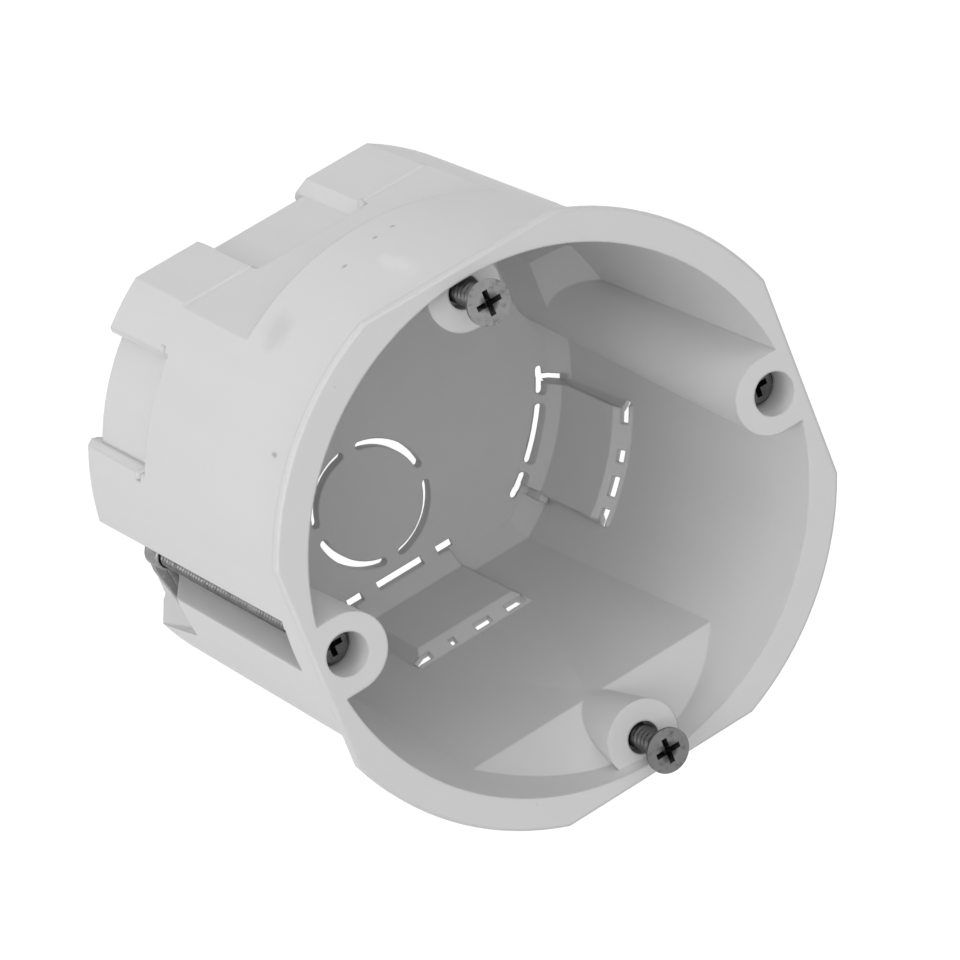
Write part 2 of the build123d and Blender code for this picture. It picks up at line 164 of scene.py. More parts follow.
class Net:
    """A node tree with short calls for making and joining nodes."""

    def __init__(self, tree: Any) -> None:
        """Keep the tree.

        Args:
            tree: A shader or geometry node tree.
        """
        self.tree = tree

    def node(self, kind: str, settings: dict[str, Any] | None = None,
             inputs: dict[Any, Any] | None = None) -> Any:
        """Make one node, set it up and join it.

        Args:
            kind: The node's type name.
            settings: Attributes that are set first, such as an operation.
            inputs: Values or links by the socket's name or number.

        Returns:
            The node.
        """
        made = self.tree.nodes.new(kind)
        for name, value in (settings or {}).items():
            setattr(made, name, value)
        for key, value in (inputs or {}).items():
            self.join(value, made.inputs[key])
        return made

    def join(self, value: Any, socket: Any) -> None:
        """Link a Sock or socket, or set a plain value.

        Args:
            value: A Sock, an output socket or a value.
            socket: The input socket.
        """
        if isinstance(value, Sock):
            self.tree.links.new(value.out, socket)
        elif isinstance(value, bpy.types.NodeSocket):
            self.tree.links.new(value, socket)
        else:
            socket.default_value = value

    def out(self, kind: str, settings: dict[str, Any] | None = None,
            inputs: dict[Any, Any] | None = None, socket: Any = 0) -> Sock:
        """Make one node and return one of its outputs as a Sock."""
        return Sock(self, self.node(kind, settings, inputs).outputs[socket])

    def math(self, operation: Math, first: Any, second: Any = 0.0) -> Sock:
        """Return a Math node's result on one or two values."""
        return self.out("ShaderNodeMath", {"operation": operation.value}, {0: first, 1: second})

    def smooth(self, value: Any, low: float, high: float) -> Sock:
        """Return a smooth step from 0 at low to 1 at high, where low may be the greater.

        Args:
            value: The value that steps.
            low: Where the result is 0.
            high: Where the result is 1.

        Returns:
            The step.
        """
        if low <= high:
            limits = {"From Min": low, "From Max": high, "To Min": 0.0, "To Max": 1.0}
        else:
            limits = {"From Min": high, "From Max": low, "To Min": 1.0, "To Max": 0.0}
        limits["Value"] = value
        return self.out("ShaderNodeMapRange", {"interpolation_type": "SMOOTHSTEP"}, limits)

    def mix(self, factor: Any, first: Any, second: Any) -> Sock:
        """Return a colour between two colours."""
        inputs = {MIX_FACTOR: factor, MIX_FIRST: first, MIX_SECOND: second}
        return self.out("ShaderNodeMix", {"data_type": "RGBA"}, inputs, MIX_RESULT)

    def noise(self, where: Any, pattern: Pattern) -> Sock:
        """Return a pattern's noise value, about 0.5.

        Args:
            where: Coordinates, in metres.
            pattern: The pattern.

        Returns:
            The noise value.
        """
        if pattern.axes:
            where = self.stretched(where, pattern.axes)
        return self.out("ShaderNodeTexNoise", {"normalize": True}, {
            "Vector": where, "Scale": pattern.scale,
            "Detail": pattern.detail, "Roughness": pattern.roughness})

    def stretched(self, where: Any, scale: Numbers) -> Sock:
        """Return coordinates multiplied by a scale for each axis."""
        return self.out("ShaderNodeVectorMath", {"operation": "MULTIPLY"}, {0: where, 1: tuple(scale)})

    def distance(self, where: Any, point: Numbers) -> Sock:
        """Return the distance in metres from a point given in metres."""
        places = {0: where, 1: tuple(point)}
        return self.out("ShaderNodeVectorMath", {"operation": "DISTANCE"}, places, "Value")

    def bump(self, strength: float, distance: float, height: Sock, normal: Any = None) -> Any:
        """Return a Bump node's normal.

        Args:
            strength: The bump's strength.
            distance: Its height, in metres.
            height: The pattern.
            normal: A normal to start from.

        Returns:
            The output socket.
        """
        made = self.node("ShaderNodeBump", None, {
            "Strength": strength, "Distance": distance, "Height": height})
        if normal is not None:
            self.join(normal, made.inputs["Normal"])
        return made.outputs[0]


def emptied(owner: Any) -> Net:
    """Give a material or world an empty node tree.

    Args:
        owner: The material or world.

    Returns:
        The net of its tree.
    """
    owner.use_nodes = True
    owner.node_tree.nodes.clear()
    return Net(owner.node_tree)


def grey(level: float) -> tuple[float, float, float, float]:
    """Return a neutral linear colour.

    Args:
        level: A display level from 0 to 255.

    Returns:
        Red, green, blue and alpha.
    """
    part = level / WHITE
    if part <= SRGB_KNEE:
        linear = part / SRGB_SLOPE
    else:
        linear = ((part + SRGB_OFFSET) / (1 + SRGB_OFFSET)) ** SRGB_POWER
    return (linear, linear, linear, 1.0)


@dataclass(frozen=True)
class Finish:
    """What every finish shares: a name, a grey level and a roughness."""

    name: str
    level: float
    roughness: float

    def material(self) -> bpy.types.Material:
        """Return the material, made once.

        Returns:
            The finished material.
        """
        found = bpy.data.materials.get(self.name)
        if found:
            return found
        made = bpy.data.materials.new(self.name)
        net = emptied(made)
        shader = net.node("ShaderNodeBsdfPrincipled")
        net.node("ShaderNodeOutputMaterial", None, {"Surface": shader.outputs[0]})
        self.paint(net, shader, net.node("ShaderNodeTexCoord").outputs["Object"])
        return made

    def around(self, net: Net, factor: Sock, spread: float) -> Sock:
        """Return the finish's own grey, from so many levels darker to as many lighter."""
        return net.mix(factor, grey(self.level - spread), grey(self.level + spread))

    def paint(self, net: Net, shader: Any, where: Any) -> None:
        """Set up the shader.

        Args:
            net: The material's net.
            shader: The Principled shader.
            where: Object coordinates, in metres.
        """
        raise NotImplementedError


@dataclass(frozen=True)
class Mark:
    """A soft mark on the plastic, in millimetres, with its grey level and how strongly it covers. Among the
    marks are a painted shade and a painted highlight.
    """

    place: tuple[float, float, float]
    size: float
    level: float
    strength: float
    core: float = 0.2
    tall: float = 1.0
    ragged: float = 0.9

    def cover(self, net: Net, where: Any, patches: Sock) -> Sock:
        """Return how far the mark covers, with a ragged rim.

        Args:
            net: The material's net.
            where: Object coordinates, in metres.
            patches: The noise that makes the rim ragged.

        Returns:
            A factor from 0 to the mark's strength.
        """
        across = net.stretched(where, (1.0, 1.0, 1.0 / self.tall))
        x, y, z = self.place
        near = net.distance(across, (x * MM, y * MM, z * MM / self.tall))
        rim = near + (patches - MIDDLE) * (self.size * MM * self.ragged)
        return net.smooth(rim, self.size * MM, self.size * self.core * MM) * self.strength


@dataclass(frozen=True)
class MouldedPlastic(Finish):
    """Satin grey plastic with a fine moulded grain, flow marks, soft marks and dust; one dark mark is
    painted shade and one pale mark a painted highlight.
    """

    broad: Pattern = Pattern(38.0, 4.0, 0.55)
    flow: Pattern = Pattern(1.0, axes=(260.0, 260.0, 30.0))
    grain: Pattern = Pattern(5200.0, 2.0)
    patches: Pattern = Pattern(420.0, 4.0)
    dust: Pattern = Pattern(1500.0, 1.0)
    dust_specks: tuple[float, float] = (0.79, 0.84)
    dust_areas: tuple[float, float] = (0.5, 0.62)
    dust_cover: float = 0.35
    dust_shade: float = 0.7
    tone_spread: float = 4.0
    tone_share: float = 0.5
    grain_sheen: float = 0.12
    broad_sheen: float = 0.18
    bump_strength: float = 0.22
    bump_height: float = 0.02 * MM
    grain_bump: float = 0.7
    flow_bump: float = 0.6
    edge_radius: float = 0.4 * MM
    edge_samples: int = 4
    specular: float = 0.3
    marks: tuple[Mark, ...] = ()

    def paint(self, net: Net, shader: Any, where: Any) -> None:
        """Set up the shader of the moulded body.

        Args:
            net: The material's net.
            shader: The Principled shader.
            where: Object coordinates, in metres.
        """
        broad, flow = net.noise(where, self.broad), net.noise(where, self.flow)
        fine, patches = net.noise(where, self.grain), net.noise(where, self.patches)
        specks = net.smooth(net.noise(where, self.dust), *self.dust_specks)
        dust = specks * net.smooth(broad, *self.dust_areas) * self.dust_cover
        colour = self.around(net, broad * self.tone_share + flow * self.tone_share, self.tone_spread)
        colour = net.mix(dust, colour, grey(self.level * self.dust_shade))
        # Each mark mixes in its own grey; one of them is painted shade and one a painted highlight.
        for mark in self.marks:
            colour = net.mix(mark.cover(net, where, patches), colour, grey(mark.level))
        net.join(colour, shader.inputs["Base Color"])
        sheen = self.roughness + (fine - MIDDLE) * self.grain_sheen + (broad - MIDDLE) * self.broad_sheen
        net.join(sheen, shader.inputs["Roughness"])
        rounded = net.node("ShaderNodeBevel", {"samples": self.edge_samples}, {"Radius": self.edge_radius})
        height = fine * self.grain_bump + flow * self.flow_bump
        normal = net.bump(self.bump_strength, self.bump_height, height, rounded.outputs[0])
        net.join(normal, shader.inputs["Normal"])
        shader.inputs["Specular IOR Level"].default_value = self.specular


@dataclass(frozen=True)
class PlatedSteel(Finish):
    """Dull zinc plating with turning marks, and painted shade in the recess and on the shank below the neck,
    in millimetres.
    """

    axis: tuple[float, float] = (0.0, 0.0)
    painted_shade: float = 0.5
    neck: float = 0.0
    cloud: Pattern = Pattern(700.0, 4.0, 0.6)
    turned: Pattern = Pattern(1.0, 2.0, axes=(300.0, 300.0, 9000.0))
    grain: Pattern = Pattern(9000.0, 2.0)
    stain: Pattern = Pattern(1500.0)
    stain_areas: tuple[float, float] = (0.52, 0.72)
    stain_cover: float = 0.5
    stain_shade: float = 0.55
    # The painted shade in the recess and below the neck: its rim radii, raggedness, grey, blend at the neck
    # and share on the shank.
    recess_shade_rim: tuple[float, float] = (1.5, 0.7)
    recess_shade_ragged: float = 1.0
    painted_shade_grey: float = 0.35
    neck_blend: tuple[float, float] = (0.2, -0.6)
    shank_shade: float = 0.9
    tone_spread: float = 18.0
    cloud_sheen: float = 0.25
    stain_sheen: float = 0.12
    stain_dulling: float = 0.25
    bump_strength: float = 0.3
    bump_height: float = 0.01 * MM
    turned_bump: float = 0.6
    grain_bump: float = 0.4

    def paint(self, net: Net, shader: Any, where: Any) -> None:
        """Set up the shader of a plated screw.

        Args:
            net: The material's net.
            shader: The Principled shader.
            where: Object coordinates, in metres.
        """
        cloud, turned = net.noise(where, self.cloud), net.noise(where, self.turned)
        fine = net.noise(where, self.grain)
        stain = net.smooth(net.noise(where, self.stain), *self.stain_areas)
        bright = self.around(net, cloud, self.tone_spread)
        # Painted shade: the head's recess and the shank below the neck are drawn darker.
        plain = net.mix(self.painted_shade_mask(net, where, cloud), bright, grey(self.level * self.painted_shade_grey))
        colour = net.mix(stain * self.stain_cover, plain, grey(self.level * self.stain_shade))
        net.join(colour, shader.inputs["Base Color"])
        sheen = self.roughness + (cloud - MIDDLE) * self.cloud_sheen + stain * self.stain_sheen
        net.join(sheen, shader.inputs["Roughness"])
        net.join(1.0 - stain * self.stain_dulling, shader.inputs["Metallic"])
        height = turned * self.turned_bump + fine * self.grain_bump
        net.join(net.bump(self.bump_strength, self.bump_height, height), shader.inputs["Normal"])

    def painted_shade_mask(self, net: Net, where: Any, cloud: Sock) -> Sock:
        """Return how much painted shade darkens the screw, in its recess and on its shank below the neck.

        Args:
            net: The material's net.
            where: Object coordinates, in metres.
            cloud: The noise that makes the rim of the painted shade in the recess ragged.

        Returns:
            A factor from 0 to the finish's strength of painted shade.
        """
        x, y = self.axis
        off_axis = net.distance(net.stretched(where, (1.0, 1.0, 0.0)), (x * MM, y * MM, 0.0))
        rim = off_axis + (cloud - MIDDLE) * (self.recess_shade_ragged * MM)
        middle = net.smooth(rim, *(radius * MM for radius in self.recess_shade_rim))
        height = net.out("ShaderNodeSeparateXYZ", None, {0: where}, 2)
        below = net.smooth(height, *((self.neck + above) * MM for above in self.neck_blend))
        return net.math(Math.MAXIMUM, middle, below * self.shank_shade) * self.painted_shade


@dataclass(frozen=True)
class PunchedSheet(Finish):
    """Dark punched sheet steel with rolling streaks and worn patches."""

    streaks: Pattern = Pattern(1.0, axes=(2600.0, 180.0, 2600.0))
    cloud: Pattern = Pattern(520.0, 4.0, 0.6)
    wear: Pattern = Pattern(2400.0, 2.0)
    wear_areas: tuple[float, float] = (0.58, 0.7)
    wear_cover: float = 0.4
    wear_lift: float = 60.0
    tone_spread: float = 14.0
    streak_sheen: float = 0.3
    metallic: float = 0.9
    worn_metallic: float = 0.1
    bump_strength: float = 0.3
    bump_height: float = 0.02 * MM

    def paint(self, net: Net, shader: Any, where: Any) -> None:
        """Set up the shader of a claw.

        Args:
            net: The material's net.
            shader: The Principled shader.
            where: Object coordinates, in metres.
        """
        streaks, cloud = net.noise(where, self.streaks), net.noise(where, self.cloud)
        worn = net.smooth(net.noise(where, self.wear), *self.wear_areas)
        dull = self.around(net, cloud, self.tone_spread)
        colour = net.mix(worn * self.wear_cover, dull, grey(self.level + self.wear_lift))
        net.join(colour, shader.inputs["Base Color"])
        net.join(self.roughness + (streaks - MIDDLE) * self.streak_sheen, shader.inputs["Roughness"])
        net.join(self.metallic + worn * self.worn_metallic, shader.inputs["Metallic"])
        net.join(net.bump(self.bump_strength, self.bump_height, streaks), shader.inputs["Normal"])


def linked(name: str, data: Any) -> Any:
    """Put a new object in the scene.

    Args:
        name: The object's name.
        data: Its mesh, camera or light.

    Returns:
        The object.
    """
    made = bpy.data.objects.new(name, data)
    bpy.context.scene.collection.objects.link(made)
    return made


def add_piece(name: str, mesh: bpy.types.Mesh, finish: Finish, body: str,
              nodes: Sequence[str]) -> None:
    """Add a finished piece to the scene, tie it to the CAD model and report it.

    Args:
        name: The piece's name.
        mesh: Its mesh, in the row frame, in metres.
        finish: Its finish.
        body: The body that it rides on.
        nodes: The CAD nodes that it stands for.
    """
    mesh.name = name
    mesh.materials.clear()
    mesh.materials.append(finish.material())
    piece = linked(name, mesh)
    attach(piece, body)
    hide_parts(*nodes)
    log.info("%s: %d faces, rides on %s", name, len(mesh.polygons), body)


def corner_angles(sides: np.ndarray) -> np.ndarray:
    """Return the angle at each corner of each triangle.

    Args:
        sides: The places of the three corners, for each triangle.

    Returns:
        Three angles for each triangle, in radians.
    """
    angles = np.zeros(sides.shape[:2])
    for corner in range(3):
        one = sides[:, (corner + 1) % 3] - sides[:, corner]
        two = sides[:, (corner + 2) % 3] - sides[:, corner]
        lengths = np.linalg.norm(one, axis=1) * np.linalg.norm(two, axis=1)
        cosine = (one * two).sum(axis=1) / np.maximum(lengths, LEAST)
        angles[:, corner] = np.arccos(np.clip(cosine, -1, 1))
    return angles


def even_normals(mesh: bpy.types.Mesh, sharp_degrees: float) -> None:
    """Give a triangle mesh corner normals that average only the faces that turn little from one another.

    Args:
        mesh: The mesh, changed in place.
        sharp_degrees: Faces that turn by more than this keep a crisp edge between them.
    """
    corners = np.array([tuple(face.vertices) for face in mesh.polygons])
    points = np.array([tuple(vertex.co) for vertex in mesh.vertices]) / MM
    sides = points[corners]
    cross = np.cross(sides[:, 1] - sides[:, 0], sides[:, 2] - sides[:, 0])
    doubled = np.linalg.norm(cross, axis=1)
    normals = cross / np.maximum(doubled, LEAST)[:, None]
    weights = np.where((doubled > SLIVER)[:, None], corner_angles(sides), 0)
    at_vertex: list[list[tuple[int, int]]] = [[] for _ in mesh.vertices]
    for face, row in enumerate(corners):
        for corner, vertex in enumerate(row):
            at_vertex[vertex].append((face, corner))
    limit = math.cos(math.radians(sharp_degrees))
    result = np.zeros((len(corners) * 3, 3))
    for around in at_vertex:
        faces = np.array([face for face, _ in around], dtype=int)
        if not len(faces):
            continue
        share = np.array([weights[face, corner] for face, corner in around])
        near = normals[faces] @ normals[faces].T > limit
        summed = (near * share[None, :]) @ normals[faces]
        for (face, corner), total in zip(around, summed):
            length = np.linalg.norm(total)
            result[face * 3 + corner] = total / length if length > NO_DIRECTION else normals[face]
    mesh.shade_smooth()
    mesh.normals_split_custom_set([tuple(row) for row in result])


def as_edit(mesh: bpy.types.Mesh) -> bmesh.types.BMesh:
    """Return an edit mesh with a mesh's faces.

    Args:
        mesh: The mesh, which is left as it is.

    Returns:
        The open edit mesh.
    """
    edit = bmesh.new()
    edit.from_mesh(mesh)
    return edit


def as_mesh(edit: bmesh.types.BMesh, name: str) -> bpy.types.Mesh:
    """Return a plain mesh with an edit mesh's faces.

    Args:
        edit: The edit mesh, freed here.
        name: The new mesh's name.

    Returns:
        The plain mesh.
    """
    mesh = bpy.data.meshes.new(name)
    edit.to_mesh(mesh)
    edit.free()
    return mesh


def merged(node: str) -> bmesh.types.BMesh:
    """Return a copy of a CAD node's mesh with its corners joined.

    Args:
        node: The CAD node.

    Returns:
        The copy as an open edit mesh.
    """
    edit = as_edit(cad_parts[node].data)
    bmesh.ops.remove_doubles(edit, verts=edit.verts, dist=SAME_PLACE)
    return edit


def applied(holder: Any) -> bpy.types.Mesh:
    """Return an object's mesh with its modifiers applied, and remove them.

    Args:
        holder: The object.

    Returns:
        The plain mesh.
    """
    bpy.context.view_layer.update()
    graph = bpy.context.evaluated_depsgraph_get()
    made = bpy.data.meshes.new_from_object(holder.evaluated_get(graph))
    holder.modifiers.clear()
    return made


def reshaped(mesh: bpy.types.Mesh, cuts: Sequence[bpy.types.Mesh],
             fills: Sequence[bpy.types.Mesh]) -> bpy.types.Mesh:
    """Return the mesh with some forms taken out and others added, in triangles.

    Args:
        mesh: A closed mesh.
        cuts: Closed meshes to take out.
        fills: Closed meshes to add.

    Returns:
        The new mesh.
    """
    holder = linked("reshaped", mesh)
    steps = [(Reshape.TAKE_OUT, form) for form in cuts] + [(Reshape.ADD, form) for form in fills]
    tools = []
    for step, form in steps:
        tools.append(linked("tool", form))
        modifier = holder.modifiers.new("reshape", "BOOLEAN")
        modifier.operation, modifier.solver, modifier.object = step.value, "EXACT", tools[-1]
    edit = as_edit(applied(holder))
    for item in [holder, *tools]:
        bpy.data.objects.remove(item)
    bmesh.ops.triangulate(edit, faces=edit.faces)
    return as_mesh(edit, "reshaped")


def joined(parts: Sequence[bmesh.types.BMesh], turn: float, name: str) -> bpy.types.Mesh:
    """Join edit meshes into one triangle mesh, turned about the part's upright axis.

    Args:
        parts: The edit meshes, freed here.
        turn: Degrees about the axis.
        name: The new mesh's name.

    Returns:
        The joined mesh.
    """
    whole = bmesh.new()
    for part in parts:
        loose = as_mesh(part, name + "_part")
        whole.from_mesh(loose)
        bpy.data.meshes.remove(loose)
    turned = Matrix.Rotation(math.radians(turn), 3, "Z")
    bmesh.ops.rotate(whole, verts=whole.verts, cent=(0, 0, 0), matrix=turned)
    bmesh.ops.triangulate(whole, faces=whole.faces)
    return as_mesh(whole, name)


def prism(rear: Outline, front: Outline, low: float, high: float) -> bmesh.types.BMesh:
    """Return a closed prism between two outlines with the same number of corners.

    Args:
        rear: Corners at the low end, in millimetres.
        front: Corners at the high end, in millimetres.
        low: Height of the low end.
        high: Height of the high end.

    Returns:
        The prism as an open edit mesh.
    """
    edit = bmesh.new()
    ends = [[edit.verts.new((x * MM, y * MM, height * MM)) for x, y in outline]
            for outline, height in ((rear, low), (front, high))]
    for end in ends:
        edit.faces.new(end)
    count = len(rear)
    for i in range(count):
        j = (i + 1) % count
        edit.faces.new((ends[0][i], ends[0][j], ends[1][j], ends[1][i]))
    bmesh.ops.recalc_face_normals(edit, faces=edit.faces)
    return edit


def turned_ring(outline: Outline, centre: tuple[float, float], sides: int) -> bmesh.types.BMesh:
    """Return a closed ring turned from a closed outline.

    Args:
        outline: Radius and height in millimetres, once round the section.
        centre: X and Y of the axis in millimetres.
        sides: How many sides the circles have.

    Returns:
        The ring as an open edit mesh.
    """
    edit = bmesh.new()
    rings = [[edit.verts.new(((centre[0] + radius * math.cos(FULL_TURN * i / sides)) * MM,
                              (centre[1] + radius * math.sin(FULL_TURN * i / sides)) * MM,
                              height * MM)) for i in range(sides)] for radius, height in outline]
    for low, high in zip(rings, rings[1:] + rings[:1]):
        for i in range(sides):
            j = (i + 1) % sides
            edit.faces.new((low[i], low[j], high[j], high[i]))
    bmesh.ops.recalc_face_normals(edit, faces=edit.faces)
    return edit


def plate(outline: Outline, low: float, high: float, edge: float) -> bmesh.types.BMesh:
    """Return a closed flat plate with rounded edges.

    Args:
        outline: Its corners in millimetres.
        low: The height of its rear face.
        high: The height of its front face.
        edge: How far the edges are rounded off.

    Returns:
        The plate as an open edit mesh.
    """
    edit = bmesh.new()
    base = edit.faces.new([edit.verts.new((x * MM, y * MM, low * MM)) for x, y in outline])
    raised = bmesh.ops.extrude_face_region(edit, geom=[base])["geom"]
    tops = [item for item in raised if isinstance(item, bmesh.types.BMVert)]
    bmesh.ops.translate(edit, verts=tops, vec=(0, 0, (high - low) * MM))
    bmesh.ops.recalc_face_normals(edit, faces=edit.faces)
    bmesh.ops.bevel(edit, geom=list(edit.edges), offset=edge * MM, segments=EDGE_SEGMENTS,
                    profile=ROUND_PROFILE, affect="EDGES", clamp_overlap=True)
    return edit


MARKS = (
    # Painted shade: a dark smudge in the concave corner where the flat side meets the ledge.
    Mark((-15.6, 29.3, 38.4), 3.6, 130.0, 0.16),
    Mark((-5.8, 32.6, 39.8), 0.55, 90.0, 0.45),
    Mark((-0.5, 33.1, 38.3), 0.45, 90.0, 0.5),
    Mark((2.1, 33.1, 37.9), 0.5, 90.0, 0.45),
    # Painted highlight: a pale streak, long along the axis, on the outer wall over the upper device-screw
    # boss.
    Mark((-2.8, 33.0, 47.6), 1.7, 240.0, 0.35, tall=3.6),
    Mark((-25.5, 21.4, 49.2), 0.5, 100.0, 0.5, tall=2.0),
)


@dataclass
class MouldedBox:
    """The one-piece moulded body, with its sizes in millimetres and its angles in degrees."""

    sharp_degrees: float = 22.0
    lip_rear: tuple[float, float] = (-32.6, 3.6)
    lip_front: tuple[float, float] = (-33.05, 4.2)
    lip_low: float = 1.0
    lip_high: float = 51.3
    lip_slant: tuple[float, float] = (0.559, -0.829)
    lip_past: float = 2.0
    lip_width: float = 3.0
    lip_inner_y: float = 2.6
    groove_half: float = 1.25
    groove_depth: float = 1.0
    groove_below: float = -1.0
    arc_radius: float = 28.3
    arc_azimuth: float = 144.4
    arc_half_angle: float = 17.5
    arc_steps: int = 12
    flat_y: float = 23.86
    flat_half_length: float = 8.4
    web_azimuth: float = 130.5
    web_half: float = 0.53
    web_blocks: tuple[tuple[float, float, float, float], ...] = (
        (28.9, 31.2, 1.0, 1.4), (30.0, 31.2, 0.2, 4.6))
    turns: tuple[float, ...] = (0.0, HALF_TURN)
    finish: Finish = MouldedPlastic("moulded plastic", 219.0, 0.5, marks=MARKS)

    def lip_outline(self, place: tuple[float, float]) -> list[tuple[float, float]]:
        """Return the slanted cut through the lip at one height.

        Args:
            place: The corner that the lip is cut back to.

        Returns:
            The cut's corners.
        """
        (x, y), (run, drop) = place, self.lip_slant
        reach = (self.lip_inner_y - y) / drop
        outside = (x - self.lip_past * run, y - self.lip_past * drop)
        return [outside, (x + reach * run, self.lip_inner_y), (x - self.lip_width, self.lip_inner_y)]

    def lip(self) -> bmesh.types.BMesh:
        """Return the form that cuts the lip beside the claw channel back."""
        rear, front = self.lip_outline(self.lip_rear), self.lip_outline(self.lip_front)
        return prism(rear, front, self.lip_low, self.lip_high)

    def web(self, near: float, far: float, low: float, high: float) -> bmesh.types.BMesh:
        """Return a block for the branch slot, not yet turned to its place.

        Args:
            near: The radius where it starts.
            far: The radius where it ends.
            low: The height of its rear face.
            high: The height of its front face.

        Returns:
            The block as an open edit mesh.
        """
        half = self.web_half
        outline = [(near, -half), (far, -half), (far, half), (near, half)]
        return prism(outline, outline, low, high)

    def arc(self, radius: float) -> list[tuple[float, float]]:
        """Return points along the rear slot of the round wall.

        Args:
            radius: Their distance from the axis.

        Returns:
            The points, in order of angle.
        """
        angles = [math.radians(self.arc_azimuth + self.arc_half_angle * step / self.arc_steps)
                  for step in range(-self.arc_steps, self.arc_steps + 1)]
        return [(radius * math.cos(angle), radius * math.sin(angle)) for angle in angles]

    def grooves(self) -> list[bmesh.types.BMesh]:
        """Return the grooves behind one half's rear slots, which leave a thin web round them.

        Returns:
            The grooves of the round wall and of the flat wall.
        """
        half, side = self.groove_half, self.flat_half_length
        band = self.arc(self.arc_radius + half) + self.arc(self.arc_radius - half)[::-1]
        low, high = self.flat_y - half, self.flat_y + half
        strip = [(-side, low), (side, low), (side, high), (-side, high)]
        return [prism(outline, outline, self.groove_below, self.groove_depth) for outline in (band, strip)]

    def build(self) -> None:
        """Make the body: the CAD form with its lips cut back, thin webs and one branch slot closed."""
        cuts, fills = [], []
        for turn in self.turns:
            cuts += [joined((form,), turn, "cut") for form in (self.lip(), *self.grooves())]
            fills += [joined((self.web(*block),), turn + self.web_azimuth, "web")
                      for block in self.web_blocks]
        mesh = reshaped(as_mesh(merged("box"), "box"), cuts, fills)
        even_normals(mesh, self.sharp_degrees)
        add_piece("moulded_box", mesh, self.finish, "box_body", ["box"])


@dataclass
class Thread:
    """Geometry nodes that cut a screw thread into a round shank.

    The flank and the root shape the groove, which runs out over some turns at both ends, where the shank
    narrows. Inside the core the cut fades, and the spare turns keep the groove's phase above zero.
    """

    name: str = "screw thread"
    flank: float = 1.35
    root: float = 0.12
    core: float = 0.9
    run_out_turns: float = 1.5
    run_out_narrowing: float = 0.22
    spare_turns: float = 8.0
    tree: Any = field(init=False)

    def __post_init__(self) -> None:
        """Build the tree once, with named inputs in metres."""
        self.tree = bpy.data.node_groups.new(self.name, "GeometryNodeTree")
        face = self.tree.interface
        face.new_socket("Geometry", in_out="OUTPUT", socket_type="NodeSocketGeometry")
        sockets = {"Float": ("Radius", "Depth", "Pitch", "Bottom", "Top", "Centre X", "Centre Y"),
                   "Int": ("Sides", "Rings"), "Material": ("Material",)}
        for kind, labels in sockets.items():
            for label in labels:
                face.new_socket(label, in_out="INPUT", socket_type="NodeSocket" + kind)
        self.wire()

    def wire(self) -> None:
        """Wire the shank, its thread and its material."""
        net = Net(self.tree)
        given = net.node("NodeGroupInput").outputs
        length = Sock(net, given["Top"]) - given["Bottom"]
        shank = net.out("GeometryNodeMeshCylinder", {"fill_type": "TRIANGLE_FAN"}, {
            "Vertices": given["Sides"], "Side Segments": given["Rings"],
            "Radius": given["Radius"], "Depth": length}, "Mesh")
        place = net.node("ShaderNodeSeparateXYZ", None, {0: net.out("GeometryNodeInputPosition")})
        x, y, z = (Sock(net, socket) for socket in place.outputs)
        height = z + length / 2
        share = self.share_left(net, given, (x, y, height), length)
        moved = net.out("ShaderNodeCombineXYZ", None, {
            0: x * share + given["Centre X"], 1: y * share + given["Centre Y"], 2: height + given["Bottom"]})
        placed = net.out("GeometryNodeSetPosition", None, {"Geometry": shank, "Position": moved})
        real = net.out("GeometryNodeRealizeInstances", None, {"Geometry": placed})
        smooth = net.out("GeometryNodeSetShadeSmooth", None, {"Geometry": real})
        painted = net.out("GeometryNodeSetMaterial", None, {
            "Geometry": smooth, "Material": given["Material"]})
        net.node("NodeGroupOutput", None, {0: painted})

    def share_left(self, net: Net, given: Any, place: tuple[Sock, Sock, Sock], length: Sock) -> Sock:
        """Return the share of the radius that the thread leaves.

        Args:
            net: The tree's net.
            given: The tree's inputs.
            place: X and Y from the screw's axis, and the height above its tip.
            length: The shank's length.

        Returns:
            A factor for X and Y.
        """
        x, y, height = place
        radius, pitch = Sock(net, given["Radius"]), Sock(net, given["Pitch"])
        turn = net.math(Math.ARCTAN2, y, x) / FULL_TURN
        phase = net.math(Math.FRACTION, height / pitch - turn + self.spare_turns)
        ridge = net.math(Math.ABSOLUTE, phase - MIDDLE) / MIDDLE
        groove = net.math(Math.MINIMUM, net.math(Math.MAXIMUM, ridge * self.flank - self.root, 0.0), 1.0)
        near_end = net.math(Math.MINIMUM, height, length - height) / (pitch * self.run_out_turns)
        run_out = 1.0 - net.math(Math.MINIMUM, near_end, 1.0)
        across = (x ** 2.0 + y ** 2.0) ** 0.5
        outer = net.math(Math.MINIMUM, across / (radius * self.core), 1.0)
        return 1.0 - (groove * given["Depth"] / radius + run_out * self.run_out_narrowing) * outer

    def mesh(self, **values: Any) -> bpy.types.Mesh:
        """Run the tree with these inputs and return a plain mesh.

        Args:
            **values: Inputs by name, with spaces written as underscores.

        Returns:
            The finished mesh.
        """
        holder = linked("thread_holder", bpy.data.meshes.new("thread_holder"))
        modifier = holder.modifiers.new("thread", "NODES")
        modifier.node_group = self.tree
        for item in self.tree.interface.items_tree:
            if item.in_out == "INPUT":
                modifier[item.identifier] = values[item.name.replace(" ", "_")]
        made = applied(holder)
        bpy.data.objects.remove(holder)
        return made


@dataclass(frozen=True)
class ScrewKind:
    """A kind of screw: its shank and thread in millimetres, how finely they are made, its plating and the
    painted shade on it.
    """

    radius: float
    tip: float
    neck: float
    pitch: float
    depth: float
    sides: int
    rings_per_turn: int
    roughness: float
    painted_shade: float
    shaded_below: float = 0.0
    overlap: float = 0.2
    sharp_degrees: float = 34.0


